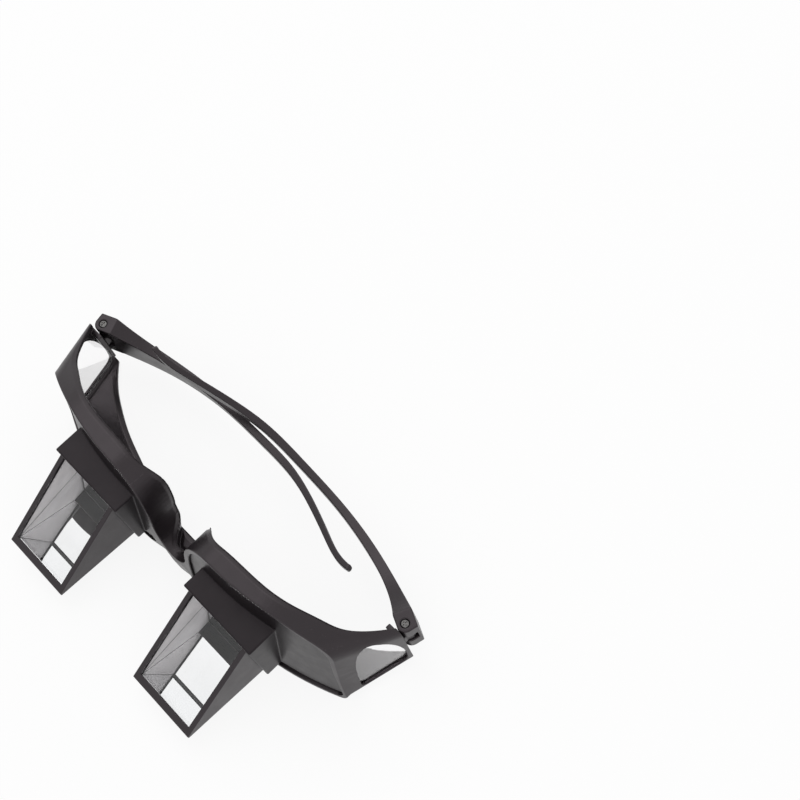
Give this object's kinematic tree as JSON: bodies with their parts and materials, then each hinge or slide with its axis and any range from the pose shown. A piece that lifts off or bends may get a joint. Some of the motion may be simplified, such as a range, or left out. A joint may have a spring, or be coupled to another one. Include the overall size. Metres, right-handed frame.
{
  "type": "prism bed glasses",
  "caption": "Bed glasses with right-angle viewing prisms in wedge housings on opaque lens panels, wrapped front, side windows and folding temples, shown folded.",
  "frame": {"origin": "centre of the box that the folded glasses fill, on the plane that their brow edge rests on", "axes": "+X towards the wearer's right, along the front; +Y from the prisms towards the face; +Z towards the chin, so the glasses rest upside down on the flat brow edge with the temples folded"},
  "size_m": [0.1515, 0.0839, 0.0422],
  "materials": {
    "frame_plastic": "fine satin moulded black",
    "panel_plastic": "semi-gloss black",
    "housing_plastic": "fine satin moulded black",
    "temple_plastic": "fine satin moulded black",
    "prism_glass": "polished clear with ground sides",
    "mirror_coat": "silvered",
    "clear_plastic": "clear, slightly hazy",
    "screw_steel": "plain steel"
  },
  "bodies": {
    "front": {"frame_front": "frame_plastic", "right_lens_panel": "panel_plastic", "left_lens_panel": "panel_plastic", "right_prism_housing": "housing_plastic", "left_prism_housing": "housing_plastic", "right_prism": "prism_glass", "left_prism": "prism_glass", "right_prism_mirror": "mirror_coat", "left_prism_mirror": "mirror_coat", "right_side_lens": "clear_plastic", "left_side_lens": "clear_plastic", "right_hinge_screw": "screw_steel", "left_hinge_screw": "screw_steel"},
    "right_arm": {"right_temple": "temple_plastic"},
    "left_arm": {"left_temple": "temple_plastic"}
  },
  "joints": [
    {"name": "right_temple_hinge", "type": "hinge", "parent": "front", "child": "right_arm", "pos_m": [0.0724, 0.0264, 0.017], "axis": [0, 0, -1], "range_deg": [0, 76.6]},
    {"name": "left_temple_hinge", "type": "hinge", "parent": "front", "child": "left_arm", "pos_m": [-0.0724, 0.0264, 0.017], "axis": [0, 0, 1], "range_deg": [0, 79.5]}
  ]
}
